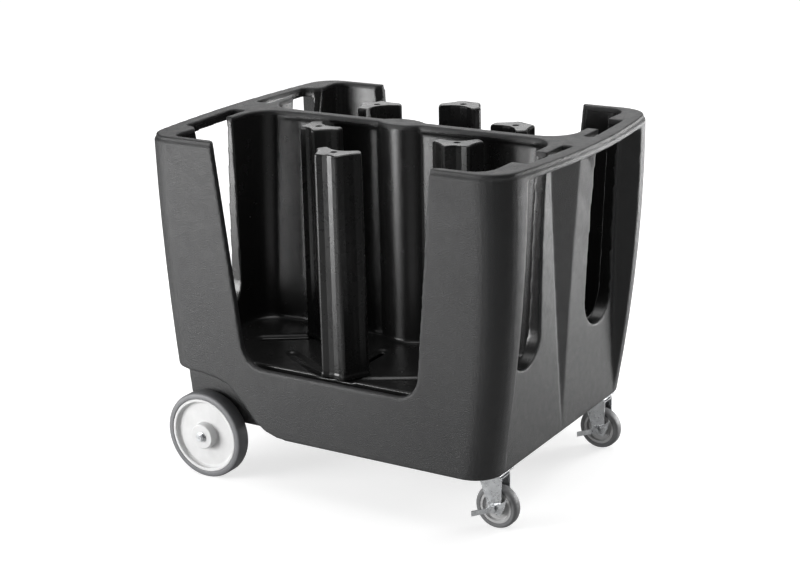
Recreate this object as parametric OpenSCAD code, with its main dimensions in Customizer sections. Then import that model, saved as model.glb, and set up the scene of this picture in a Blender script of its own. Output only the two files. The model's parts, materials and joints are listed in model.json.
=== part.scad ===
// Plate trolley: a hollow moulded body with two plate compartments, six dividing towers that
// slide in floor tracks, two large wheels on one axle and two braked swivel casters.
// X runs along the trolley towards the casters, Y across it, Z up. The origin is on the floor,
// under the middle of the overall box.

/* [Body] */
// Height from the floor to the rim
total_h = 810; // [790:1:840]
// Height from the floor to the underside of the body
base_z = 133; // [131:1:140]
// Height of the compartment floor
floor_z = 295; // [285:1:310]
// Length over the corner posts, at the rim
length = 930; // [916:2:950]
// How far the body sits back from the middle of its overall length
set_back = 5; // [3:1:7]
// How far the caster end is drawn in from the rim to the underside
end_taper = 63; // [55:1:68]
// How far the large wheel end is drawn in
end_taper_rear = 37; // [30:1:42]
// How quickly the ends straighten up towards the rim
end_curve = 1.9; // [1.5:0.1:2.5]
// Width over the long sides, at the rim
width = 724; // [712:2:740]
// How far each long side is drawn in from the rim to the underside
side_taper = 19; // [15:1:22]
// Radius of the four upright corners
corner_r = 64; // [50:1:75]
// How far the rail at the caster end bows out in the middle
rail_bow = 25; // [18:1:30]
// How far the rail at the large wheel end bows out
rail_bow_rear = 15; // [10:1:20]
// Height of an end rail
rail_h = 26; // [22:1:34]
// Width of an end rail on top
rail_w = 33; // [28:1:38]
// Height of the stepped lip round the rim
lip_h = 12; // [8:1:16]
// How far the lip steps in
lip_step = 5; // [3:0.5:7]

/* [Compartments] */
// Thickness of the corner posts at the rim
post_t = 25; // [20:1:30]
// Distance from a corner post's end to the compartment, at the rim, caster end
end_depth = 64; // [58:1:72]
// The same at the large wheel end
end_depth_rear = 81; // [76:1:86]
// How far the compartment is drawn in from the rim to its floor, caster end
comp_taper = 34; // [28:1:40]
// How far it widens from the rim to its floor, large wheel end
comp_flare_rear = 13; // [8:1:16]
// How much deeper the large wheel end is beside the long sides
corner_depth_rear = 11; // [6:1:12]
// Thickness of the middle wall at the rim
wall_t_top = 28; // [26:1:34]
// Thickness of the middle wall at the floor
wall_t_floor = 32; // [30:1:36]
// Thickness of the end wall at the rim, caster end
end_wall_t = 28; // [24:1:30]
// Thickness of the end wall at the rim, large wheel end
end_wall_t_rear = 20; // [18:1:24]
// Corner radius beside the middle wall
inner_r = 68; // [50:1:75]
// Height of the bead along the middle wall's rim
bead_h = 16; // [12:1:20]
// How far the bead stands out from the wall
bead_out = 4; // [3:0.5:5]
// Corner radius beside the long sides, caster end
wing_r = 44; // [30:1:55]
// Corner radius beside the long sides, large wheel end
wing_r_rear = 24; // [18:1:30]
// Fillet where the walls meet the floor
floor_fillet = 10; // [6:1:12]
// Half width of the half-round rib on the middle wall
rib_half = 54; // [45:1:60]
// Place of that rib along the wall, from the middle
rib_x = -7; // [-15:1:5]
// How far that rib stands out
rib_out = 20; // [12:1:26]

/* [Side cut-outs] */
// Half width of a cut-out at the rim
cut_half_top = 277; // [265:1:285]
// Half width of a cut-out where its corners start
cut_half_low = 231; // [222:1:240]
// Corner radius of a cut-out
cut_r = 56; // [45:1:62]
// Width of the bevel on the inner edges of a cut-out
cut_bevel = 30; // [20:1:34]
// Thickness left at the cut-out's edges
cut_edge_t = 14; // [12:1:18]

/* [End windows] */
// Distance from the middle to a window's centre line
window_y = 177; // [172:1:182]
// Half width of a window at its foot
window_half_low = 67; // [60:1:70]
// Half width of a window at the rail
window_half_top = 52; // [48:1:56]
// Height of a window's lowest point
window_z = 341; // [335:1:360]
// Depth of the middle groove in each end, at the rail
groove_depth = 40; // [30:1:42]
// Half width of the middle groove at the rail
groove_half = 74; // [66:1:78]
// How far the groove's edges stand out from the compartments' ends
groove_wall = 11; // [9:1:14]
// Half width of the junction plate between the middle wall and a rail
junction_half = 49; // [44:1:54]
// Height where the end grooves run out
groove_end_z = 138; // [134:1:160]

/* [Hollow base] */
// Thickness of the moulded skin round the hollow
skin_t = 7; // [5:0.5:9]
// Radius of the moulding's vent hole, in the underside
vent_r = 4; // [3:0.5:6]

/* [Towers] */
// Height of a tower above the compartment floor
tower_h = 505; // [480:1:510]
// Distance from a tower's axis to the tip of each of its two wings
wing_reach = 61; // [56:1:63]
// Angle of each wing from the line across the tower
wing_angle = 27; // [20:1:32]
// Half width of a wing's tip
wing_tip = 11; // [9:1:12]
// Distance from a tower's axis to the end of its leg
leg_reach = 35; // [32:0.5:38]
// Half width of the leg
leg_half = 29; // [26:1:31]
// How far the side between the wings is drawn in
wing_dip = 20; // [14:1:21]
// How far the end of the leg is drawn in
leg_dip = 7; // [3:0.5:8]
// How much wider a tower is at its foot than at its top
tower_draft = 2; // [1:0.25:3]
// Height of the bead round a tower's foot
tower_bead_h = 11; // [8:1:14]
// How far the bead stands out
tower_bead = 3; // [2:0.5:4]
// Wall thickness of a tower
tower_wall = 5; // [4:0.5:6]
// Depth of the screw recess in a tower's top
recess_h = 12; // [9:1:15]
// Radius of the screw recess
recess_r = 8; // [7.5:0.25:9]
// Radius of the clamping bolt
bolt_r = 4; // [3:0.5:5]

/* [Floor tracks] */
// Width of a track's shallow groove
groove_w = 34; // [32:1:38]
// Depth of that groove
groove_d = 5; // [4:0.5:6]
// Width of the slot along its middle
slot_w = 11; // [10:0.5:13]
// Depth of solid left beside the slot
slot_lip = 6; // [5:0.5:7]
// Width of the channel under the slot
channel_w = 36; // [34:1:40]
// Height of the channel
channel_h = 11; // [10:1:12]
// Side of the square clamp plate
plate_w = 31; // [28:1:33]
// Thickness of the clamp plate
plate_t = 6; // [5:0.5:7]

/* [Large wheels] */
// Radius of a large wheel
wheel_r = 102.7; // [98:0.1:104]
// Distance of the axle from the underside's end
axle_in = 77; // [74:1:80]
// How far a tyre's outer face stands out from the body's underside
tyre_out = 1; // [-1:0.5:3]
// Width of a large tyre
tyre_w = 38; // [34:1:40]
// Radial thickness of a large tyre
tyre_t = 14; // [11:1:17]
// Radius of the axle
axle_r = 6.35; // [6:0.05:7]
// Running clearance in every turning joint, on the radius
run_gap = 0.06; // [0.04:0.01:0.09]

/* [Casters] */
// Radius of a caster wheel
caster_r = 50; // [46:0.5:51]
// Distance of a caster's axle from the underside's end
caster_in = 23; // [20:1:28]
// Distance of a caster's middle from the underside's side
caster_side_in = 86; // [80:1:92]
// Distance from the swivel axis to the caster's axle
trail = 18; // [14:1:24]
// Width of a caster tyre
caster_tyre_w = 27; // [24:1:30]
// Thickness of the fork's sheet metal
fork_t = 2.5; // [2:0.25:3]
// Gap between the fork's legs
fork_gap = 36; // [34:1:40]

/* [Hidden] */
$fn = 64;
node = "all";
SIDES = ["right", "left"];
TOWERS = ["a", "b", "c", "d", "e", "f"];
function names(stem, tags) = [for (t = tags) str(stem, "_", t)];
NODES = concat(
    ["body", "rear_axle", "axle_brackets", "bracket_bolts", "axle_washers", "axle_nuts",
     "caster_plates", "threaded_inserts", "caster_plate_bolts"],
    names("tower", TOWERS), names("tower_bolt", TOWERS), names("clamp_plate", TOWERS),
    names("wheel_disc", SIDES), names("wheel_tyre", SIDES), names("wheel_bush", SIDES),
    names("kingpin", SIDES), names("swivel_balls", SIDES), names("caster_fork", SIDES),
    names("caster_core", SIDES), names("caster_tyre", SIDES), names("caster_bush", SIDES),
    names("caster_axle_bolt", SIDES), names("caster_nut", SIDES), names("brake_lever", SIDES));

eps = 0.01;
big = 2000;
side_sign = [-1, 1];                       // right is the near long side, -Y
draft_h = total_h - base_z;
half_len_top = length / 2 - set_back;
half_len_top_rear = length / 2 + set_back;
half_len_base = half_len_top - end_taper;
half_len_base_rear = half_len_top_rear - end_taper_rear;
width_base = width - 2 * side_taper;
comp_half_top = half_len_top - end_depth;
comp_half_floor = comp_half_top - comp_taper;
comp_rear_top = half_len_top_rear - end_depth_rear;
comp_rear_floor = comp_rear_top + comp_flare_rear;
axle_x = half_len_base_rear - axle_in;
wheel_face_y = width_base / 2 + tyre_out;
caster_x = half_len_base - caster_in;
caster_y = width_base / 2 - caster_side_in;
rail_z = total_h - rail_h;
arc_steps = 8;

// Height as a share of the body's height
function up(z) = (z - base_z) / draft_h;
// Half length and half width of the outer form at a height
// An end is [half length at the underside, half length at the rim, bow of its rail, compartment half
// length at its floor, the same at the rim, thickness of its wall at the rim]
front_end = [half_len_base, half_len_top, rail_bow, comp_half_floor, comp_half_top, end_wall_t];
rear_end = [half_len_base_rear, half_len_top_rear, rail_bow_rear, comp_rear_floor, comp_rear_top,
            end_wall_t_rear];
function end_x(z, e) = e[0] + (e[1] - e[0]) * (1 - pow(1 - min(1, max(0, up(z))), end_curve));
function half_y(z) = width_base / 2 + side_taper * up(z);
// The post is measured beside the window, where the bow has died away
bow_span = 280;
function bow_at(y, z, e) = e[2] * pow(max(0, up(z)), 2) * (1 - pow(y / bow_span, 2));

// Points of a quarter arc, from one angle to another
function arc(cx, cy, r, a0, a1, steps) =
    [for (i = [0 : steps]) let (a = a0 + (a1 - a0) * i / steps) [cx + r * cos(a), cy + r * sin(a)]];

// Half of an end's outline at a height, from the middle out to the corner post: plain, or with the
// middle groove, the panel round the window and the valley beside the post
window_edge = window_y + window_half_top;
function plain_half(z, e, inset) =
    [for (y = [0, groove_half, window_y - window_half_top, window_edge, window_edge + 12, bow_span - 4])
        [end_x(z, e) - inset + bow_at(y, z, e), y]];
function deep_half(z, e) =
    let (k = max(0, (z - groove_end_z) / (rail_z - groove_end_z)),
         foot_x = end_x(min(z, groove_end_z), e), wall_x = e[4] + e[5],
         panel_x = mix(foot_x, wall_x, k * k), lip_x = panel_x - (e[5] - groove_wall) * k * k,
         valley_y = mix(bow_span - 12, window_edge + 8, pow(k, 1.5)))
    [[lip_x - groove_depth * k, 0], [lip_x, groove_half * k + 3], [panel_x, window_y - window_half_top],
     [panel_x, valley_y - 3 - 10 * (1 - k)], [panel_x - 2 * k, valley_y],
     [end_x(z, e) + bow_at(bow_span, z, e), bow_span - 4]];

// The outer plan at a height, drawn in by an inset
function end_line(half) =
    concat([for (i = [len(half) - 1 : -1 : 1]) [half[i][0], -half[i][1]]], half);
function bowed(points, z, e) = [for (p = points) [p[0] + bow_at(p[1], z, e), p[1]]];
function end_plan(z, e, inset, deep) =
    let (x = end_x(z, e) - inset, hy = half_y(z) - inset, r = corner_r - inset)
    concat(bowed(arc(x - r, r - hy, r, -90, 0, arc_steps), z, e),
           end_line(deep ? deep_half(z, e) : plain_half(z, e, inset)),
           bowed(arc(x - r, hy - r, r, 0, 90, arc_steps), z, e));
function body_plan(z, inset, deep) =
    concat(end_plan(z, front_end, inset, deep), [for (p = end_plan(z, rear_end, inset, deep)) -p]);

// Solid through a stack of plans with equal numbers of points; each level is [z, plan], and rises with y
// by the given slope
module loft(levels, slope = 0) {
    n = len(levels[0][1]);
    m = len(levels);
    points = [for (lv = levels) for (p = lv[1]) [p[0], p[1], lv[0] + slope * p[1]]];
    faces = concat(
        [[for (i = [0 : n - 1]) i]],
        [[for (i = [n - 1 : -1 : 0]) (m - 1) * n + i]],
        [for (k = [0 : m - 2]) for (i = [0 : n - 1])
            let (j = (i + 1) % n) [k * n + i, (k + 1) * n + i, k * n + j]],
        [for (k = [0 : m - 2]) for (i = [0 : n - 1])
            let (j = (i + 1) % n) [k * n + j, (k + 1) * n + i, (k + 1) * n + j]]);
    polyhedron(points, faces);
}

// The rail's underside slopes up outwards by this much
rail_slope = 4;
module outer_form() {
    lip_z = total_h - lip_h;
    loft(concat(
        [for (z = [base_z, groove_end_z]) [z, body_plan(z, 0, true)]],
        [for (k = [1 : 7]) let (z = mix(groove_end_z, rail_z, k / 7)) [z, body_plan(z, 0, true)]],
        [for (z = [rail_z + rail_slope, lip_z]) [z, body_plan(z, 0, false)]],
        [[lip_z + lip_h / 3, body_plan(total_h, lip_step, false)],
         [total_h, body_plan(total_h, lip_step, false)]]));
}

// One compartment, on the side given by its sign
function share(z) = (z - floor_z) / (total_h - floor_z);
function mix(a, b, t) = a + (b - a) * t;
function comp_plan(z, inset, s) =
    let (hx = mix(comp_half_floor, comp_half_top, share(z)) - inset,
         rx = mix(comp_rear_floor, comp_rear_top, share(z)) - inset,
         deep = corner_depth_rear * max(0, share(z)),
         bead_y = mix(wall_t_floor, wall_t_top, share(z)) / 2 + inset,
         y0 = bead_y - (z < total_h - bead_h ? bead_out : 0),
         y1 = mix(half_y(floor_z) - post_t, half_y(total_h) - post_t, share(z)) - inset,
         pts = concat(arc(hx - inner_r, y0 + inner_r, inner_r, -90, 0, arc_steps),
                      arc(hx - wing_r, y1 - wing_r, wing_r, 0, 90, arc_steps),
                      arc(wing_r_rear - rx - deep, y1 - wing_r_rear, wing_r_rear, 90, 180, arc_steps),
                      arc(inner_r - rx, bead_y + inner_r, inner_r, 180, facet_angle, arc_steps),
                      [[facet_reach - rx, y0]]))
    s > 0 ? pts : [for (i = [len(pts) - 1 : -1 : 0]) [pts[i][0], -pts[i][1]]];

// At the large wheel end a flat facet leads from the corner to the middle wall
facet_angle = 250;
facet_reach = 111;
module compartment(s) {
    over_z = total_h + 20;
    under_bead_z = total_h - bead_h - bead_out;
    loft([[floor_z, comp_plan(floor_z, floor_fillet * 0.8, s)],
          [floor_z + floor_fillet * 0.25, comp_plan(floor_z, floor_fillet * 0.3, s)],
          [floor_z + floor_fillet, comp_plan(floor_z + floor_fillet, 0, s)],
          [under_bead_z, comp_plan(under_bead_z, 0, s)],
          [total_h - bead_h, comp_plan(total_h - bead_h, 0, s)],
          [total_h, comp_plan(total_h, 0, s)],
          [over_z, comp_plan(total_h, 0, s)]]);
}

// Half-round rib on both faces of the middle wall
module wall_rib() {
    rib_r = (rib_half * rib_half + rib_out * rib_out) / (2 * rib_out);
    for (s = [-1, 1])
        intersection() {
            translate([rib_x, s * (wall_t_top / 2 + rib_out - rib_r), floor_z - 1])
                cylinder(r = rib_r, h = total_h - floor_z + 1, $fn = 96);
            translate([rib_x - rib_half, s > 0 ? 0 : -big / 2, floor_z - 1])
                cube([2 * rib_half, big / 2, total_h - floor_z + 1]);
        }
}

// Rounded trapezium through both long sides, and the bevel round its inner edges
cut_rise = 40;
cut_slope = (cut_half_top - cut_half_low) / (total_h - floor_z - cut_r);
function cut_plan(grow, skew = 0) =
    let (a = atan(cut_slope), cx = cut_half_low - cut_r / cos(a), cz = floor_z + cut_r,
         top_x = cut_half_top + cut_slope * cut_rise + grow)
    concat([[-top_x, total_h + cut_rise]],
           arc(-cx, cz, cut_r + grow, 180 + a + skew, 270 - skew / 2, arc_steps),
           arc(cx, cz, cut_r + grow, 270 + skew / 2, 360 - a - skew, arc_steps),
           [[top_x, total_h + cut_rise]]);
module side_cutouts() {
    inner_y = half_y(floor_z) - 2 * post_t;
    for (s = [-1, 1])
        mirror([0, s > 0 ? 0 : 1, 0]) rotate([90, 0, 0]) mirror([0, 0, 1]) {
            translate([0, 0, inner_y]) linear_extrude(big - inner_y) polygon(cut_plan(0));
            bevel_y = half_y(0) - cut_edge_t;
            // The skew keeps the bevel's edges off the cut-out's
            loft([[bevel_y - post_t, cut_plan(cut_bevel, 3)], [bevel_y + 2, cut_plan(-2, 3)]],
                 side_taper / draft_h);
        }
}

// Rounded slot, wider at its foot; drawn in the YZ plane and cut along X
module window_shape(y) {
    cz = window_z + window_half_low;
    pts = concat([[y - window_half_top, total_h + eps]],
                 arc(y, cz, window_half_low, 180, 360, 2 * arc_steps),
                 [[y + window_half_top, total_h + eps]]);
    polygon(pts);
}

module along_x(x0, x1) {
    translate([x0, 0, 0]) rotate([90, 0, 90]) linear_extrude(x1 - x0) children();
}

// Towards the rim the large wheel end's windows widen beside the corner posts, most on the inside
flare_low_z = 560;
flare_in = 48;
flare_out = 14;
module window_flare(e, m) {
    in_x = e[4] - 8;
    out_x = e[4] + e[5] + flare_out;
    mid = window_y - window_half_top + 6;
    mirror([0, m > 0 ? 0 : 1, 0]) loft([for (lv = [[flare_low_z, 0], [total_h + 1, 1]])
        let (post = window_edge - 6 * (1 - lv[1]))
        [lv[0], [[in_x, mid], [out_x, mid], [out_x, post], [in_x, post + flare_in * lv[1]]]]]);
}

// The windows, and the space between the end wall and the rail
module end_openings(e) {
    rail_mid = e[1] + e[2] - lip_step - rail_w;
    rail_in = rail_mid - e[2] / 2;
    reach = e == rear_end ? flare_out : -2;
    for (m = [-1, 1]) {
        along_x(comp_half_floor - 60, rail_in) window_shape(m * window_y);
        if (e == rear_end) window_flare(e, m);
        // Between the junction plate and each window the wall top stands free of the rail
        translate([0, 0, rail_z - rail_slope]) linear_extrude(rail_h + big) polygon([
            [e[4] + e[5], m * junction_half], [e[4] + e[5], m * (window_edge + reach)],
            [rail_in - 1, m * (window_edge + reach / 2)], [rail_mid, m * junction_half]]);
    }
}

// Wells for the large wheels, and the skirt between them, which is drawn in below the end wall
well_y = wheel_face_y - tyre_w - 8;
well_x = axle_x - 244;
skirt_top_in = 4;
skirt_foot_in = 19;
module wheel_wells() {
    arch_z = 258;
    low_z = base_z - 1;
    // Each point is [distance ahead of the axle, drop from the well's top]
    arch = [[-44, -4], [16, 0], [46, 4], [76, 14], [104, 36], [128, 66], [151, 95], [176, 112], [206, 122],
            [238, arch_z - low_z]];
    for (s = [-1, 1])
        translate([0, s > 0 ? well_y : -well_y, 0]) rotate([90, 0, 0])
            mirror([0, 0, s > 0 ? 1 : 0]) linear_extrude(big)
                polygon(concat([[-big / 3, low_z], [-big / 3, arch_z + 4]],
                               [for (p = arch) [p[0] - axle_x, arch_z - p[1]]]));
    rotate([90, 0, 0]) translate([0, 0, -big / 2]) linear_extrude(big)
        polygon([[-big / 3, low_z], [-big / 3, arch_z + 4], [skirt_top_in - half_len_base_rear, arch_z + 4],
                 [skirt_foot_in - half_len_base_rear, low_z]]);
}

// A slot with round ends between two points, of a width, between two heights
module bar(p, q, w, z0, z1) {
    d = q - p;
    translate([p[0], p[1], z0]) rotate(atan2(d[1], d[0])) linear_extrude(z1 - z0)
        polygon(concat(arc(0, 0, w / 2, 90, 270, arc_steps), arc(norm(d), 0, w / 2, -90, 90, arc_steps)));
}

// Where each tower stands and how it is turned; the direction of its track, and how far the tower
// can slide back and ahead from there
tower_at = [[-6, -281], [-180, -80], [188, -89], [-188, 182], [-1, 271], [221, 119]];
tower_turn = [0, -25, 24, 235, 180, 158];
track_angle = [90, 212, 329, 270, 270, 31];
track_back = [0, 0, 0, 0, 0, 40];
track_ahead = [170, 150, 110, 80, 160, 74];
function along(i, d) = tower_at[i] + d * [cos(track_angle[i]), sin(track_angle[i])];
// Empty grooves beside the tracks
spare_groove_y = 218;
spare_grooves = [[[-185, -spare_groove_y], [-6, -322]], [[173, -spare_groove_y], [-6, -322]],
                 [[-180, spare_groove_y], [0, 328]], [[180, spare_groove_y], [0, 328]]];
clamp_slack = 0.3;
groove_z = floor_z - groove_d;
lip_z = groove_z - slot_lip;
channel_z = lip_z - channel_h;

module tracks() {
    for (i = [0 : len(TOWERS) - 1]) {
        from = along(i, -track_back[i]);
        to = along(i, track_ahead[i]);
        bar(from, to, groove_w, groove_z, floor_z + 1);
        bar(from, to, slot_w, lip_z - 1, groove_z + 1);
        // The channel leaves room for the square clamp plate at each end
        over = plate_w / 2 + 1;
        translate([from[0], from[1], channel_z]) rotate(track_angle[i]) translate([-over, -channel_w / 2, 0])
            cube([norm(to - from) + 2 * over, channel_w, channel_h]);
    }
    for (g = spare_grooves) bar(g[0], g[1], groove_w * 0.7, groove_z, floor_z + 1);
}

// Places of the threaded inserts moulded into the underside
insert_r = 6;
insert_h = 16;
screw_r = 4;
caster_span = [58, 42];
bracket_span = 44;
bracket_y = 268;
swivel_x = caster_x - trail;
caster_screws = [for (s = side_sign) for (i = [-1, 1]) for (j = [-1, 1])
    [swivel_x + i * caster_span[0] / 2, s * caster_y + j * caster_span[1] / 2]];
bracket_screws = [for (s = side_sign) for (i = [-1, 1]) [-axle_x + i * bracket_span / 2, s * bracket_y]];

// Hollow between the two skins of the moulding: the base and the middle wall in one space,
// with bosses round the inserts and a vent in the underside
module hollow() {
    z0 = base_z + skin_t;
    h = channel_z - skin_t - z0;
    hy = half_y(base_z) - skin_t - 4;
    front_x = half_len_base - skin_t - 10;
    rear_x = half_len_base_rear - skirt_foot_in - skin_t;
    cut_in = 40;
    top_z = total_h - 3 * skin_t;
    difference() {
        union() {
            translate([-well_x, -hy, z0]) cube([well_x + front_x - cut_in, 2 * hy, h]);
            translate([front_x - cut_in - 1, cut_in - hy, z0]) cube([cut_in + 1, 2 * (hy - cut_in), h]);
            translate([-rear_x, skin_t - well_y, z0])
                cube([rear_x - well_x + 1, 2 * (well_y - skin_t), h]);
        }
        for (p = concat(caster_screws, bracket_screws))
            translate([p[0], p[1], z0 - 1])
                cylinder(r = insert_r + skin_t, h = insert_h + skin_t, $fn = 32);
    }
    // Middle wall
    wall_in = wall_t_top - 2 * skin_t;
    wall_x = comp_half_floor - groove_depth;
    translate([-wall_x, -wall_in / 2, z0 + h - 1]) cube([2 * wall_x, wall_in, top_z - z0 - h + 1]);
    translate([0, 0, base_z - 1]) cylinder(r = vent_r, h = skin_t + 2);
}

module body() color("#3a3b3d") difference() {
    union() {
        difference() {
            outer_form();
            compartment(1);
            compartment(-1);
        }
        wall_rib();
    }
    side_cutouts();
    end_openings(front_end);
    mirror([1, 0, 0]) end_openings(rear_end);
    wheel_wells();
    tracks();
    hollow();
    for (p = concat(caster_screws, bracket_screws))
        translate([p[0], p[1], base_z - 1]) cylinder(r = insert_r, h = insert_h + 1, $fn = 48);
}

module ring(r_out, r_in, h, fn = 48) {
    difference() {
        cylinder(r = r_out, h = h, $fn = fn);
        translate([0, 0, -1]) cylinder(r = r_in, h = h + 2, $fn = fn);
    }
}

module threaded_inserts() color("#c8a45a")
    for (p = concat(caster_screws, bracket_screws)) translate([p[0], p[1], base_z])
        ring(insert_r, screw_r, insert_h);

// Towers. The plan has six corners: two at each wing's tip and two on the leg. Each side is drawn in.
leg_flat = 3;
tower_soft = 4.5;
function turn(p, a) = [p[0] * cos(a) - p[1] * sin(a), p[0] * sin(a) + p[1] * cos(a)];
function tower_corners() =
    let (half = [[leg_half, -leg_reach], turn([wing_reach, -wing_tip], wing_angle),
                 turn([wing_reach, wing_tip], wing_angle)])
    concat(half, [for (i = [2 : -1 : 0]) [-half[i][0], half[i][1]]]);
function tower_plan(grow) =
    let (corners = tower_corners(), dips = [leg_flat, 0, wing_dip, 0, leg_flat, leg_dip],
         k = 1 + grow / wing_reach, n = len(corners))
    [for (i = [0 : n - 1])
        let (o = corners[(i + n - 1) % n] * k, p = corners[i] * k, q = corners[(i + 1) % n] * k,
             side = q - p, run = side / norm(side), out = [-run[1], run[0]],
             before = p - (p - o) / norm(p - o) * tower_soft, after = p + run * tower_soft,
             t0 = tower_soft / norm(side))
        each concat([(before + 2 * p + after) / 4],
            [for (s = [0 : 0.25 : 1]) p + side * mix(t0, 1 - t0, s) + out * dips[i] * k * 4 * s * (1 - s)])];

foot_z = floor_z + clamp_slack;
top_z = floor_z + tower_h;
key_r = groove_w / 2 - 3;
column_r = bolt_r + 4;
module tower(i) color("#2e2f31") translate([tower_at[i][0], tower_at[i][1], 0]) difference() {
    union() {
        difference() {
            rotate(tower_turn[i]) loft([
                [foot_z, tower_plan(tower_bead)],
                [foot_z + tower_bead_h * 0.6, tower_plan(tower_bead)],
                [foot_z + tower_bead_h, tower_plan(0)],
                [top_z - 6, tower_plan(-tower_draft)],
                [top_z - 1.8, tower_plan(-tower_draft - 1.5)],
                [top_z, tower_plan(-tower_draft - 5)]]);
            rotate(tower_turn[i]) translate([0, 0, foot_z - 1]) linear_extrude(tower_h - recess_h - 9)
                offset(delta = -tower_wall) polygon(tower_plan(-tower_draft));
        }
        translate([0, 0, foot_z]) cylinder(r = column_r, h = tower_h - recess_h - 3, $fn = 48);
        translate([0, 0, groove_z + clamp_slack]) cylinder(r = key_r, h = groove_d + 4, $fn = 48);
    }
    tower_holes();
}
module tower_holes() {
    translate([0, 0, groove_z - 1]) cylinder(r = bolt_r + clamp_slack, h = tower_h + 20, $fn = 32);
    translate([0, 0, top_z - recess_h]) cylinder(r = recess_r, h = recess_h + 1, $fn = 48);
}
module tower_bolt(i) color("#8f9296") translate([tower_at[i][0], tower_at[i][1], 0]) {
    head_h = 5;
    difference() {
        translate([0, 0, top_z - recess_h]) cylinder(r = recess_r - 1.5, h = head_h, $fn = 48);
        translate([0, 0, top_z - recess_h + 2]) cylinder(r = 3.5, h = head_h, $fn = 6);
    }
    translate([0, 0, channel_z + 2]) cylinder(r = bolt_r, h = top_z - recess_h - channel_z - 1, $fn = 32);
}
module clamp_plate(i) color("#a9adb1") {
    translate([tower_at[i][0], tower_at[i][1], lip_z - clamp_slack - plate_t]) rotate(track_angle[i])
        difference() {
            translate([-plate_w / 2, -plate_w / 2, 0]) cube([plate_w, plate_w, plate_t]);
            translate([0, 0, -1]) cylinder(r = bolt_r, h = plate_t + 2, $fn = 32);
        }
}

// Turns a profile of [radius, distance inwards from the tyre's outer face] about a Y axis
module turned(points, fn = 96) { rotate([-90, 0, 0]) rotate_extrude($fn = fn) polygon(points); }
module on_side(s) { mirror([0, s > 0 ? 1 : 0, 0]) children(); }

// Large wheels
hub_out = 9;
hub_r = 30;
hub_back_r = 22;
bracket_t = 5;
bracket_half = 22;
bracket_lap = 11;
cheek_r = 15;
hub_in = wheel_face_y - bracket_y - bracket_half - 2;
bush_r = 10;
rim_r = wheel_r - tyre_t;
rim_t = 8;
web_in = 11;
web_t = 6;
washer_t = 1.6;
washer_r = axle_r + 6;
nut_r = axle_r + 4;
nut_h = 6;
side_play = 0.2;
hole_play = 0.4;
axle_end = wheel_face_y + hub_out + side_play + washer_t + nut_h + 2;
module at_wheel(s) { on_side(s) translate([-axle_x, -wheel_face_y, wheel_r]) children(); }
// The ring stands out level with the tyre; the web and hub are set in behind it
module wheel_disc(s) color("#dcdcdc") at_wheel(s) turned([
    [bush_r, -hub_out], [hub_r - 2, -hub_out], [hub_r, 2 - hub_out], [hub_r + 1, web_in],
    [rim_r - rim_t - 4, web_in], [rim_r - rim_t, web_in - 4],
    [rim_r - rim_t, 2], [rim_r - rim_t + 2, 0], [rim_r - 1, 0], [rim_r, 1],
    [rim_r, tyre_w], [rim_r - rim_t, tyre_w], [rim_r - rim_t - 2, web_in + web_t],
    [hub_back_r + 2, web_in + web_t], [hub_back_r, hub_in], [bush_r, hub_in]]);
module wheel_tyre(s) color("#5c5e60") at_wheel(s) turned([
    [rim_r, 0], [rim_r + 2, -0.6], [wheel_r - 4, 0], [wheel_r - 1.2, 1.6], [wheel_r, 5],
    [wheel_r, tyre_w - 5], [wheel_r - 1.2, tyre_w - 1.6], [wheel_r - 4, tyre_w], [rim_r, tyre_w]]);
module wheel_bush(s) color("#e8e8e4") at_wheel(s) turned([
    [axle_r + run_gap, -hub_out], [bush_r, -hub_out], [bush_r, hub_in], [axle_r + run_gap, hub_in]]);
module rear_axle() color("#b9bcc0") translate([-axle_x, -axle_end, wheel_r]) rotate([-90, 0, 0])
    cylinder(r = axle_r, h = 2 * axle_end);
module axle_washers() color("#c4c7ca") for (s = side_sign) at_wheel(s)
    for (y = [-hub_out - washer_t - side_play, hub_in + side_play])
        turned([[axle_r, y], [washer_r, y], [washer_r, y + washer_t], [axle_r, y + washer_t]]);
module axle_nuts() color("#c4c7ca") for (s = side_sign) at_wheel(s)
    translate([0, -hub_out - washer_t - side_play, 0]) rotate([90, 0, 0]) difference() {
        cylinder(r = nut_r, h = nut_h, $fn = 6);
        translate([0, 0, -1]) cylinder(r = axle_r, h = nut_h + 2);
    }
// A folded bracket: a flange under the body and two cheeks that hold the axle
module axle_brackets() color("#b4b7ba") for (s = side_sign) on_side(s)
    translate([-axle_x, -bracket_y, 0]) difference() {
        union() {
            translate([-bracket_span / 2 - bracket_lap, -bracket_half, base_z - bracket_t])
                cube([bracket_span + 2 * bracket_lap, 2 * bracket_half, bracket_t]);
            for (y = [bracket_t - bracket_half, bracket_half]) translate([0, y, 0]) rotate([90, 0, 0])
                linear_extrude(bracket_t) {
                    translate([0, wheel_r]) circle(r = cheek_r, $fn = 48);
                    polygon([[-cheek_r - 3, base_z - 1], [-cheek_r, wheel_r], [cheek_r, wheel_r],
                             [cheek_r + 3, base_z - 1]]);
                }
        }
        translate([0, -bracket_half - 1, wheel_r]) rotate([-90, 0, 0])
            cylinder(r = axle_r, h = 2 * bracket_half + 2);
        for (i = [-1, 1]) translate([i * bracket_span / 2, 0, base_z - bracket_t - 1])
            cylinder(r = screw_r + hole_play, h = bracket_t + 2);
    }
// A hexagon screw up into an insert; its head's top is at seat_z
screw_head_h = 5;
module screw(p, seat_z, head_r) {
    translate([p[0], p[1], seat_z]) {
        cylinder(r = screw_r, h = base_z + insert_h - 3 - seat_z, $fn = 32);
        translate([0, 0, -screw_head_h]) cylinder(r = head_r, h = screw_head_h, $fn = 6);
    }
}
module bracket_bolts() color("#9a9da1") for (p = bracket_screws) screw(p, base_z - bracket_t, 7);

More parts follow.
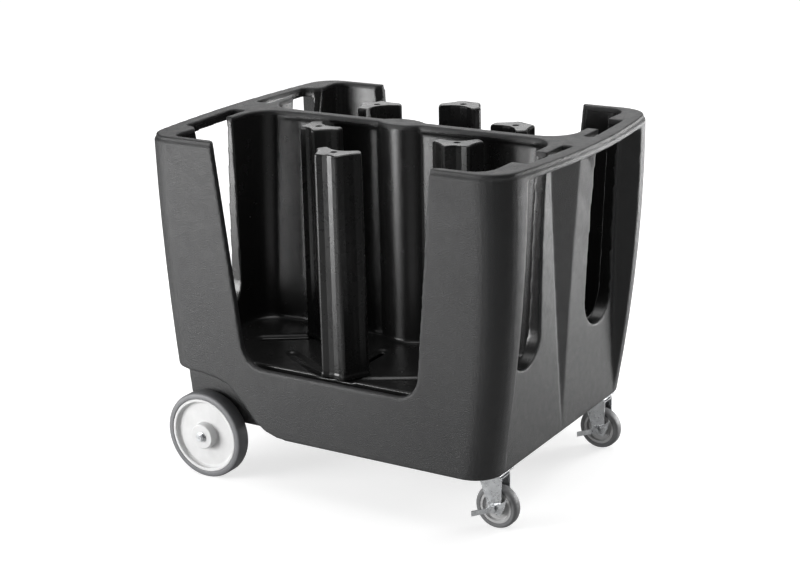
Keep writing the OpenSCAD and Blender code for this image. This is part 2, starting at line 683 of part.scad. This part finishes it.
// Casters
plate_half = [40, 32];
mount_t = 3;
ball_r = 3;
ball_ring = 17;
pin_r = 6;
pin_head = [11, 4];
play = 0.2;
core_r = 38;
leg_y = fork_gap / 2;
hub_half = leg_y - 0.5;
crown_r = 24;
crown_back = 21;
leg_front = 19;
leg_foot_r = 12.5;
crown_z = base_z - mount_t - 2 * ball_r - 2 * play;
pin_foot_z = crown_z - fork_t - play - pin_head[1];
caster_bolt_r = 5;
caster_hex_r = 8.5;
caster_nut_h = 7;
bolt_head_h = 6;
bush_out = 7;
lever_t = 2;
lever_y = leg_y + fork_t + play;
module at_swivel(s) { translate([swivel_x, s * caster_y, 0]) children(); }
module at_caster(s) { translate([caster_x, s * caster_y, caster_r]) children(); }
module caster_plates() color("#c9ccd0") for (s = side_sign) at_swivel(s) difference() {
    union() {
        translate([-plate_half[0], -plate_half[1], base_z - mount_t])
            cube([2 * plate_half[0], 2 * plate_half[1], mount_t]);
        // Collar round the balls
        translate([0, 0, base_z - mount_t - ball_r]) ring(ball_ring + 9, ball_ring + 6, ball_r + 1);
    }
    translate([0, 0, base_z - mount_t - 1]) cylinder(r = pin_r, h = mount_t + 2);
    for (i = [-1, 1]) for (j = [-1, 1])
        translate([i * caster_span[0] / 2, j * caster_span[1] / 2, base_z - mount_t - 1])
            cylinder(r = screw_r + hole_play, h = mount_t + 2);
}
module caster_plate_bolts() color("#9a9da1") for (p = caster_screws) screw(p, base_z - mount_t, 6.5);
module kingpin(s) color("#aeb1b5") at_swivel(s) translate([0, 0, pin_foot_z]) {
    cylinder(r = pin_r, h = base_z - pin_foot_z);
    cylinder(r = pin_head[0], h = pin_head[1]);
}
module swivel_balls(s) color("#d5d7da") at_swivel(s)
    for (k = [0 : 11]) rotate(30 * k) translate([ball_ring, 0, crown_z + play / 2 + ball_r])
        sphere(r = ball_r, $fn = 24);
// A pressed fork: a round crown with two legs that run down to the axle bolt
module caster_fork(s) color("#d2d5d8") at_swivel(s) difference() {
    union() {
        translate([0, 0, crown_z - fork_t]) {
            cylinder(r = crown_r, h = fork_t);
            translate([-crown_back, -leg_y - fork_t, 0])
                cube([crown_back + trail + leg_front, 2 * (leg_y + fork_t), fork_t]);
        }
        for (y = [-leg_y, leg_y + fork_t]) translate([0, y, 0]) rotate([90, 0, 0])
            linear_extrude(fork_t) {
                polygon([[-crown_back, crown_z - eps], [trail - leg_foot_r + 0.5, caster_r],
                         [trail + leg_foot_r - 0.5, caster_r], [trail + leg_front, caster_r + 22],
                         [trail + leg_front, crown_z - eps]]);
                translate([trail, caster_r]) circle(r = leg_foot_r, $fn = 48);
            }
    }
    translate([0, 0, crown_z - 20]) cylinder(r = pin_r + run_gap, h = 40);
    translate([trail, -leg_y - fork_t - 1, caster_r]) rotate([-90, 0, 0])
        cylinder(r = caster_bolt_r, h = 2 * (leg_y + fork_t + 1));
}
module caster_core(s) color("#c6c8ca") at_caster(s) translate([0, -hub_half, 0]) {
    e = hub_half - caster_tyre_w / 2 + 1;
    w = 2 * hub_half;
    turned([[bush_out, 0], [11, 0], [13, e + 6], [core_r - 8, e + 6], [core_r - 6, e], [core_r, e],
            [core_r, w - e], [core_r - 6, w - e], [core_r - 8, w - e - 6], [13, w - e - 6], [11, w],
            [bush_out, w]], 64);
}
module caster_tyre(s) color("#707275") at_caster(s) translate([0, -caster_tyre_w / 2, 0]) {
    w = caster_tyre_w;
    turned([[core_r, 0], [caster_r - 5, 0], [caster_r - 1.5, 2.5], [caster_r, 7], [caster_r, w - 7],
            [caster_r - 1.5, w - 2.5], [caster_r - 5, w], [core_r, w]]);
}
module caster_bush(s) color("#b98f4a") at_caster(s) translate([0, -hub_half, 0]) turned([
    [caster_bolt_r + run_gap, 0], [bush_out, 0], [bush_out, 2 * hub_half],
    [caster_bolt_r + run_gap, 2 * hub_half]], 48);
module caster_axle_bolt(s) color("#c4c7ca") at_caster(s) {
    head_y = lever_y + lever_t + play;
    translate([0, -head_y - bolt_head_h, 0]) rotate([-90, 0, 0]) {
        cylinder(r = caster_bolt_r, h = bolt_head_h + head_y + leg_y + fork_t + caster_nut_h + 2);
        cylinder(r = caster_hex_r, h = bolt_head_h, $fn = 6);
    }
}
module caster_nut(s) color("#c4c7ca") at_caster(s) translate([0, leg_y + fork_t, 0]) rotate([-90, 0, 0])
    difference() {
        cylinder(r = caster_hex_r, h = caster_nut_h, $fn = 6);
        translate([0, 0, -1]) cylinder(r = caster_bolt_r, h = caster_nut_h + 2);
    }
// A stamped brake lever: a notched tab up beside the tyre, and a pedal bent outwards
pedal_z = -14;
pedal_tilt = 18;
module brake_lever(s) color("#d2d5d8") at_caster(s) translate([0, -lever_y, 0]) difference() {
    union() {
        rotate([90, 0, 0]) linear_extrude(lever_t) {
            circle(r = 11, $fn = 48);
            polygon([[-4, 10], [6, 12], [20, 16], [33, 29], [28, 8], [16, -15], [2, -11]]);
            polygon([[-4, 8], [-16, 0], [-16, pedal_z], [0, -11]]);
        }
        translate([0, 0, pedal_z]) linear_extrude(12) polygon([
            [-14, 0], [-16.5, 0], [-38.6, -lever_t - 28], [-37.4, -lever_t - 30.5], [-14.8, -lever_t]]);
    }
    translate([0, -10, 0]) rotate([-90, 0, 0]) cylinder(r = caster_bolt_r + run_gap, h = 20);
    // The pedal's underside rises towards its tip
    translate([-40, -40, pedal_z]) rotate([0, pedal_tilt, 0]) translate([-20, 0, -20]) cube([50, 60, 20]);
}

function side_of(tag) = tag == "right" ? -1 : 1;
function listed(name) = node == "all" || node == name;
if (listed("body")) body();
if (listed("threaded_inserts")) threaded_inserts();
if (listed("rear_axle")) rear_axle();
if (listed("axle_brackets")) axle_brackets();
if (listed("bracket_bolts")) bracket_bolts();
if (listed("axle_washers")) axle_washers();
if (listed("axle_nuts")) axle_nuts();
if (listed("caster_plates")) caster_plates();
if (listed("caster_plate_bolts")) caster_plate_bolts();
for (i = [0 : len(TOWERS) - 1]) {
    if (listed(str("tower_", TOWERS[i]))) tower(i);
    if (listed(str("tower_bolt_", TOWERS[i]))) tower_bolt(i);
    if (listed(str("clamp_plate_", TOWERS[i]))) clamp_plate(i);
}
for (t = SIDES) {
    s = side_of(t);
    if (listed(str("wheel_disc_", t))) wheel_disc(s);
    if (listed(str("wheel_tyre_", t))) wheel_tyre(s);
    if (listed(str("wheel_bush_", t))) wheel_bush(s);
    if (listed(str("kingpin_", t))) kingpin(s);
    if (listed(str("swivel_balls_", t))) swivel_balls(s);
    if (listed(str("caster_fork_", t))) caster_fork(s);
    if (listed(str("caster_core_", t))) caster_core(s);
    if (listed(str("caster_tyre_", t))) caster_tyre(s);
    if (listed(str("caster_bush_", t))) caster_bush(s);
    if (listed(str("caster_axle_bolt_", t))) caster_axle_bolt(s);
    if (listed(str("caster_nut_", t))) caster_nut(s);
    if (listed(str("brake_lever_", t))) brake_lever(s);
}
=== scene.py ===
# Plate trolley: the looks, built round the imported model.
import math

import bmesh
import bpy
import numpy as np
from mathutils import Matrix, Vector
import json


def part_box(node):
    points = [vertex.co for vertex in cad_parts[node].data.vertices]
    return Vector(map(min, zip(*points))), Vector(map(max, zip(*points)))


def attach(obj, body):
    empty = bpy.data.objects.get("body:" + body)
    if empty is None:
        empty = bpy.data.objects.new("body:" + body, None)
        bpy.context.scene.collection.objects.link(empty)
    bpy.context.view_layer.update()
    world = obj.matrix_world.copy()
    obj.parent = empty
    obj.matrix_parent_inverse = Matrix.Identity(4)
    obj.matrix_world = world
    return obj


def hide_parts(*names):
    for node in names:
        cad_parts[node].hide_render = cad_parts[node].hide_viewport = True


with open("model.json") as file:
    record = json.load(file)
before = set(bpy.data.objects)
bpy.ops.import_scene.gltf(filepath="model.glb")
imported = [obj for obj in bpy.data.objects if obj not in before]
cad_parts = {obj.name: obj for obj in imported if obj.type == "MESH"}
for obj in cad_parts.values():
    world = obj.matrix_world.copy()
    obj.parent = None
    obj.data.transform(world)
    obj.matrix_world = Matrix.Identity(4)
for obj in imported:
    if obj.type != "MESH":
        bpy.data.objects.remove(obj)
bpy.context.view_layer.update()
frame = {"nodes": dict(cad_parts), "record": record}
scene = bpy.context.scene


# Camera: place, direction that it looks along, and its lens
CAMERA_AT = (2.0995, -3.4062, 1.6802)
CAMERA_AZIMUTH = math.radians(31.93)
CAMERA_ELEVATION = math.radians(17.61)
CAMERA_ROLL = math.radians(-1.44)
CAMERA_LENS = 81.21


# Materials
NOISE_ROUGHNESS = 0.55


class Nodes:
    """A material's node tree, with short ways to add and link nodes."""

    def __init__(self, name):
        self.material = bpy.data.materials.new(name)
        self.material.use_nodes = True
        self.tree = self.material.node_tree
        self.shader = self.tree.nodes["Principled BSDF"]

    def add(self, kind, **values):
        node = self.tree.nodes.new("ShaderNode" + kind)
        for key, value in values.items():
            if hasattr(node, key):
                setattr(node, key, value)
            else:
                node.inputs[key.replace("_", " ")].default_value = value
        return node

    def link(self, source, target):
        self.tree.links.new(source, target)

    def noise(self, scale, detail=3.0):
        if not hasattr(self, "place"):
            self.place = self.add("TexCoord").outputs["Object"]
        node = self.add("TexNoise", Scale=scale, Detail=detail, Roughness=NOISE_ROUGHNESS)
        self.link(self.place, node.inputs["Vector"])
        return node.outputs["Fac"]

    def spread(self, source, low, high, start=0.3, end=0.7):
        """A value mapped from start..end to low..high."""
        node = self.add("MapRange")
        for name, value in zip(("From Min", "From Max", "To Min", "To Max"), (start, end, low, high)):
            node.inputs[name].default_value = value
        self.link(source, node.inputs["Value"])
        return node.outputs["Result"]

    def shades(self, source, *stops):
        """Colours along a value; each stop is (place, colour)."""
        node = self.add("ValToRGB")
        elements = node.color_ramp.elements
        while len(elements) < len(stops):
            elements.new(0.5)
        for element, (place, colour) in zip(elements, stops):
            element.position = place
            element.color = (*colour, 1)
        self.link(source, node.inputs["Fac"])
        return node.outputs["Color"]

    def bump(self, *layers):
        """Bumps of several heights; each layer is (source, depth in metres)."""
        normal = None
        for source, depth in layers:
            node = self.add("Bump", Strength=1.0, Distance=depth)
            self.link(source, node.inputs["Height"])
            if normal:
                self.link(normal, node.inputs["Normal"])
            normal = node.outputs["Normal"]
        self.link(normal, self.shader.inputs["Normal"])


def grey(value, tint=(1.0, 1.0, 1.0)):
    return tuple(value * part for part in tint)


def body_plastic():
    """Moulded polyethylene: orange peel outside and smoother inside the compartments, whose colour is
    made darker with painted shade.
    """
    m = Nodes("body plastic")
    inner = m.add("Attribute", attribute_name="inner").outputs["Fac"]
    cloud = m.noise(5.0, 2.0)
    outside = m.shades(cloud, (0.35, grey(0.014, (0.97, 0.99, 1.03))),
                       (0.65, grey(0.018, (0.98, 1.0, 1.03))))
    # Painted shade: the inside colour is darker only because the compartments are deep recesses; the
    # plastic is the same as outside.
    inside = m.shades(cloud, (0.35, grey(0.011)), (0.65, grey(0.014)))
    mix = m.add("Mix", data_type="RGBA")
    m.link(inner, mix.inputs["Factor"])
    m.link(outside, mix.inputs[6])
    m.link(inside, mix.inputs[7])
    m.link(mix.outputs[2], m.shader.inputs["Base Color"])
    rough = m.add("MixRGB")
    m.link(inner, rough.inputs["Fac"])
    m.link(m.spread(m.noise(60.0), 0.42, 0.52), rough.inputs["Color1"])
    m.link(m.spread(m.noise(24.0), 0.20, 0.28), rough.inputs["Color2"])
    m.link(rough.outputs["Color"], m.shader.inputs["Roughness"])
    grain = m.add("Math", operation="MULTIPLY")
    m.link(m.noise(620.0, 2.0), grain.inputs[0])
    m.link(m.spread(inner, 1.0, 0.22, 0.0, 1.0), grain.inputs[1])
    m.bump((m.noise(14.0, 2.0), 0.0004), (grain.outputs[0], 0.0011))
    return m.material


def tower_plastic():
    """Smooth satin polyethylene with slow waves from the mould."""
    m = Nodes("tower plastic")
    colour = m.shades(m.noise(7.0, 2.0), (0.35, grey(0.010)), (0.65, grey(0.015)))
    m.link(colour, m.shader.inputs["Base Color"])
    m.link(m.spread(m.noise(40.0), 0.24, 0.34), m.shader.inputs["Roughness"])
    m.shader.inputs["Specular IOR Level"].default_value = 0.4
    m.bump((m.noise(16.0, 1.0), 0.0006), (m.noise(700.0, 2.0), 0.00016))
    return m.material


def moulded(name, value, rough, tint=(1.0, 1.0, 1.0)):
    """Plain moulded plastic or rubber with faint clouding and a fine skin."""
    m = Nodes(name)
    colour = m.shades(m.noise(30.0), (0.3, grey(value * 0.93, tint)), (0.7, grey(value * 1.05, tint)))
    m.link(colour, m.shader.inputs["Base Color"])
    m.link(m.spread(m.noise(90.0), rough - 0.05, rough + 0.06), m.shader.inputs["Roughness"])
    m.bump((m.noise(1400.0, 2.0), 0.00010))
    return m.material


def metal(name, value, rough, tint=(0.98, 1.0, 1.02)):
    """Plated metal with faint clouding and fine scratches."""
    m = Nodes(name)
    m.shader.inputs["Metallic"].default_value = 1.0
    colour = m.shades(m.noise(45.0), (0.3, grey(value * 0.86, tint)), (0.7, grey(value * 1.06, tint)))
    m.link(colour, m.shader.inputs["Base Color"])
    m.link(m.spread(m.noise(160.0, 5.0), rough - 0.08, rough + 0.12), m.shader.inputs["Roughness"])
    m.bump((m.noise(900.0, 3.0), 0.000007))
    return m.material


MATERIALS = {
    "body_plastic": body_plastic(),
    "tower_plastic": tower_plastic(),
    "disc_plastic": moulded("disc plastic", 0.56, 0.42),
    "wheel_tyre": moulded("large tyre rubber", 0.14, 0.5, (0.98, 0.99, 1.03)),
    "caster_tyre": moulded("caster tyre rubber", 0.17, 0.5, (0.99, 1.0, 1.02)),
    "caster_core": moulded("caster core plastic", 0.5, 0.45),
    "zinc_steel": metal("zinc plated steel", 0.66, 0.3),
    "bolt_steel": metal("zinc plated bolts", 0.55, 0.32),
    "nylon": moulded("nylon", 0.75, 0.5, (1.0, 1.0, 0.96)),
    "bronze": metal("sintered bronze", 0.5, 0.4, (1.1, 0.8, 0.45)),
    "insert_brass": metal("brass", 0.6, 0.35, (1.1, 0.88, 0.5)),
}


# Mesh helpers
SEAM = 1e-5


def points_of(mesh):
    flat = np.empty(len(mesh.vertices) * 3, dtype=np.float32)
    mesh.vertices.foreach_get("co", flat)
    return flat.reshape(-1, 3).astype(np.float64)


def put_points(mesh, points):
    mesh.vertices.foreach_set("co", points.astype(np.float32).ravel())
    mesh.update()


def relax(mesh, rounds, weight):
    """Draws each point towards the mean of its neighbours, by its own weight."""
    points = points_of(mesh)
    ends = np.empty(len(mesh.edges) * 2, dtype=np.int64)
    mesh.edges.foreach_get("vertices", ends)
    a, b = ends[::2], ends[1::2]
    n = len(points)
    count = np.bincount(a, minlength=n) + np.bincount(b, minlength=n)
    for _ in range(rounds):
        total = [np.bincount(a, points[b, k], n) + np.bincount(b, points[a, k], n) for k in range(3)]
        mean = np.stack(total, axis=1) / np.maximum(count, 1)[:, None]
        points += weight[:, None] * (mean - points)
    put_points(mesh, points)


def new_piece(name, mesh, slot):
    piece = bpy.data.objects.new(name, mesh)
    scene.collection.objects.link(piece)
    mesh.materials.clear()
    mesh.materials.append(MATERIALS[slot])
    return piece


def apply_modifiers(piece):
    """Keeps a piece's evaluated mesh and drops its modifiers."""
    graph = bpy.context.evaluated_depsgraph_get()
    mesh = bpy.data.meshes.new_from_object(piece.evaluated_get(graph))
    piece.modifiers.clear()
    piece.data = mesh


def remeshed(piece, voxel):
    modifier = piece.modifiers.new("remesh", "REMESH")
    modifier.mode = "VOXEL"
    modifier.voxel_size = voxel
    apply_modifiers(piece)


def thinned(piece, ratio):
    modifier = piece.modifiers.new("thin", "DECIMATE")
    modifier.ratio = ratio
    apply_modifiers(piece)
    piece.data.shade_smooth()
    even = piece.modifiers.new("even shading", "WEIGHTED_NORMAL")
    even.weight = 60


def copy_of_node(name, node, slot):
    """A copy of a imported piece's mesh, with its seams welded."""
    mesh = frame["nodes"][node].data.copy()
    work = bmesh.new()
    work.from_mesh(mesh)
    bmesh.ops.remove_doubles(work, verts=work.verts, dist=SEAM)
    work.to_mesh(mesh)
    work.free()
    return new_piece(name, mesh, slot)


# Body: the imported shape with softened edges
BODY_VOXEL = 0.0029
RIM_BAND = 0.020
KEPT_FACES = 0.34
PLUG_SIZE = (0.016, 0.016, 0.005)
PLUG_HEIGHT = 0.0045
# The compartments: floor height, reach to each side at the underside, and the walls' lean up to the rim
FLOOR_START, FLOOR_END = 0.272, 0.280
SIDE_WALL_Y = 0.343
SIDE_WALL_LEAN = 0.019
# From here outwards the ends have outer faces too
END_START, END_FULL = 0.325, 0.335
body_low, body_high = (np.array(corner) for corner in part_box("body"))


def add_plug(mesh):
    """Closes the moulding's vent a little way in, so that the hollow inside stays hidden."""
    work = bmesh.new()
    work.from_mesh(mesh)
    place = Matrix.Translation((0, 0, body_low[2] + PLUG_HEIGHT))
    bmesh.ops.create_cube(work, size=1, matrix=place @ Matrix.Diagonal((*PLUG_SIZE, 1)))
    work.to_mesh(mesh)
    work.free()


def smoothstep(value, start, end):
    t = np.clip((value - start) / (end - start), 0, 1)
    return t * t * (3 - 2 * t)


def mark_inner(mesh):
    """Points on the compartments' walls and floor get 1, the outside gets 0; where it is 1 the plastic
    is smoother and darkened with painted shade.
    """
    x, y, z = points_of(mesh).T
    share = (z - body_low[2]) / (body_high[2] - body_low[2])
    half_width = SIDE_WALL_Y + SIDE_WALL_LEAN * share
    inner = smoothstep(half_width - np.abs(y), 0.012, 0.022)
    inner *= smoothstep(z, FLOOR_START, FLOOR_END)
    inner *= 1 - smoothstep(z, body_high[2] - 0.012, body_high[2] - 0.004)
    normals = np.empty(len(mesh.vertices) * 3, dtype=np.float32)
    mesh.vertices.foreach_get("normal", normals)
    outward = normals[::3] * np.sign(x)
    inner *= 1 - smoothstep(outward, 0.2, 0.5) * smoothstep(np.abs(x), END_START, END_FULL)
    attribute = mesh.attributes.new("inner", "FLOAT", "POINT")
    attribute.data.foreach_set("value", inner.astype(np.float32))


def build_body():
    piece = copy_of_node("moulded_body", "body", "body_plastic")
    add_plug(piece.data)
    remeshed(piece, BODY_VOXEL)
    points = points_of(piece.data)
    band = body_high[2] - RIM_BAND
    rim = smoothstep(points[:, 2], band - 0.006, band + 0.002)
    relax(piece.data, 4, 0.5 - 0.25 * rim)
    thinned(piece, KEPT_FACES)
    relax(piece.data, 2, np.full(len(piece.data.vertices), 0.3))
    mark_inner(piece.data)
    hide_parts("body")
    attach(piece, "trolley")


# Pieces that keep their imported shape, with the fine bevels of real edges
BEVELS = {"tower_bolt": 0.0004, "tower": 0.0009, "wheel_disc": 0.0008, "wheel_tyre": 0.0012,
          "caster_core": 0.0006, "caster_tyre": 0.001, "caster_fork": 0.0005, "caster_plates": 0.0006,
          "axle_brackets": 0.0006, "brake_lever": 0.0004, "axle_nuts": 0.0005, "caster_nut": 0.0005,
          "caster_axle_bolt": 0.0004, "rear_axle": 0.0006}
BEVEL_FROM = math.radians(28)


def dress_nodes():
    slots = {part["node"]: part["material_slot"] for part in frame["record"]["subparts"]}
    for name, node in frame["nodes"].items():
        node.data.materials.clear()
        node.data.materials.append(MATERIALS[slots[name]])
        stem = next((key for key in BEVELS if name.startswith(key)), None)
        if stem:
            weld = node.modifiers.new("weld", "WELD")
            weld.merge_threshold = SEAM
            bevel = node.modifiers.new("edges", "BEVEL")
            bevel.width = BEVELS[stem]
            bevel.segments = 2
            bevel.limit_method = "ANGLE"
            bevel.angle_limit = BEVEL_FROM
            bevel.harden_normals = True


# Stage: floor, lights and camera
FLOOR_REACH = 30
FLOOR_GREY = 0.48
FLOOR_IN_GLOSS = 0.12
AMBIENT = 0.09
BACKDROP = (("Is Glossy Ray", 0.11), ("Is Camera Ray", 1.0))
# Each light is [name, place, target, width, watts, height where it isn't square]
LIGHTS = (
    ("overhead", (0.2, 0.3, 3.3), (0, 0, 0.4), 3.6, 90),
    ("left softbox", (-1.7, -2.0, 0.6), (-0.4, -0.2, 0.6), 1.4, 86),
    ("front fill", (0.4, -4.2, 3.0), (0, 0, 0.5), 2.4, 9),
    ("right softbox", (1.4, 1.9, 0.5), (0.45, 0, 0.45), 0.9, 46),
    ("back softbox", (-1.8, 3.6, 1.9), (0, 0, 0.7), 3.5, 32, 1.8),
)


def build_floor():
    """White floor that keeps the shadow near the trolley and runs out into plain white."""
    mesh = bpy.data.meshes.new("studio floor")
    far = FLOOR_REACH
    corners = [(-far, -far, 0), (far, -far, 0), (far, far, 0), (-far, far, 0)]
    mesh.from_pydata(corners, [], [(0, 1, 2, 3)])
    floor = bpy.data.objects.new("studio_floor", mesh)
    scene.collection.objects.link(floor)
    m = Nodes("white floor")
    m.shader.inputs["Base Color"].default_value = (*grey(FLOOR_GREY), 1)
    m.shader.inputs["Roughness"].default_value = 0.6
    m.shader.inputs["Specular IOR Level"].default_value = 0.1
    distance = m.add("VectorMath", operation="LENGTH")
    m.link(m.add("TexCoord").outputs["Object"], distance.inputs[0])
    white = m.add("Math", operation="MULTIPLY")
    m.link(m.spread(distance.outputs["Value"], 0.70, 1.0, 0.55, 1.6), white.inputs[0])
    ray = m.add("LightPath")
    seen = m.add("Math", operation="MULTIPLY_ADD")
    seen.inputs[1].default_value = FLOOR_IN_GLOSS
    m.link(ray.outputs["Is Glossy Ray"], seen.inputs[0])
    m.link(ray.outputs["Is Camera Ray"], seen.inputs[2])
    m.link(seen.outputs[0], white.inputs[1])
    glow = m.add("Emission")
    m.link(white.outputs[0], glow.inputs["Strength"])
    both = m.add("AddShader")
    m.link(m.shader.outputs[0], both.inputs[0])
    m.link(glow.outputs[0], both.inputs[1])
    m.link(both.outputs[0], m.tree.nodes["Material Output"].inputs["Surface"])
    mesh.materials.append(m.material)


def area_light(name, place, target, size, watts, height=None):
    data = bpy.data.lights.new(name, "AREA")
    data.shape = "RECTANGLE"
    data.size = size
    data.size_y = height or size
    data.energy = watts
    light = bpy.data.objects.new(name, data)
    scene.collection.objects.link(light)
    light.location = place
    light.visible_camera = False
    light.rotation_euler = (Vector(target) - Vector(place)).to_track_quat("-Z", "Y").to_euler()


def build_world():
    """Dim ambient light; plain white for the camera, and a pale room in glossy reflections."""
    world = bpy.data.worlds.new("studio")
    scene.world = world
    world.use_nodes = True
    tree = world.node_tree
    ray = tree.nodes.new("ShaderNodeLightPath")
    result = tree.nodes["Background"].outputs[0]
    tree.nodes["Background"].inputs["Color"].default_value = (1, 1, 1, 1)
    tree.nodes["Background"].inputs["Strength"].default_value = AMBIENT
    for kind, strength in BACKDROP:
        light = tree.nodes.new("ShaderNodeBackground")
        light.inputs["Color"].default_value = (1, 1, 1, 1)
        light.inputs["Strength"].default_value = strength
        mix = tree.nodes.new("ShaderNodeMixShader")
        tree.links.new(ray.outputs[kind], mix.inputs["Fac"])
        tree.links.new(result, mix.inputs[1])
        tree.links.new(light.outputs[0], mix.inputs[2])
        result = mix.outputs[0]
    tree.links.new(result, tree.nodes["World Output"].inputs["Surface"])


def build_camera():
    azimuth, elevation = CAMERA_AZIMUTH, CAMERA_ELEVATION
    back = Vector((math.cos(elevation) * math.sin(azimuth), -math.cos(elevation) * math.cos(azimuth),
                   math.sin(elevation)))
    right = Vector((0, 0, 1)).cross(back).normalized()
    up = back.cross(right)
    turn = Matrix((right, up, back)).transposed() @ Matrix.Rotation(CAMERA_ROLL, 3, "Z")
    data = bpy.data.cameras.new("camera")
    data.lens = CAMERA_LENS
    data.sensor_width = 36
    data.clip_end = 100
    camera = bpy.data.objects.new("camera", data)
    scene.collection.objects.link(camera)
    camera.matrix_world = Matrix.Translation(CAMERA_AT) @ turn.to_4x4()
    scene.camera = camera


def build_stage():
    build_floor()
    build_world()
    for light in LIGHTS:
        area_light(*light)
    scene.view_settings.view_transform = "Standard"


build_stage()
build_camera()
dress_nodes()
build_body()
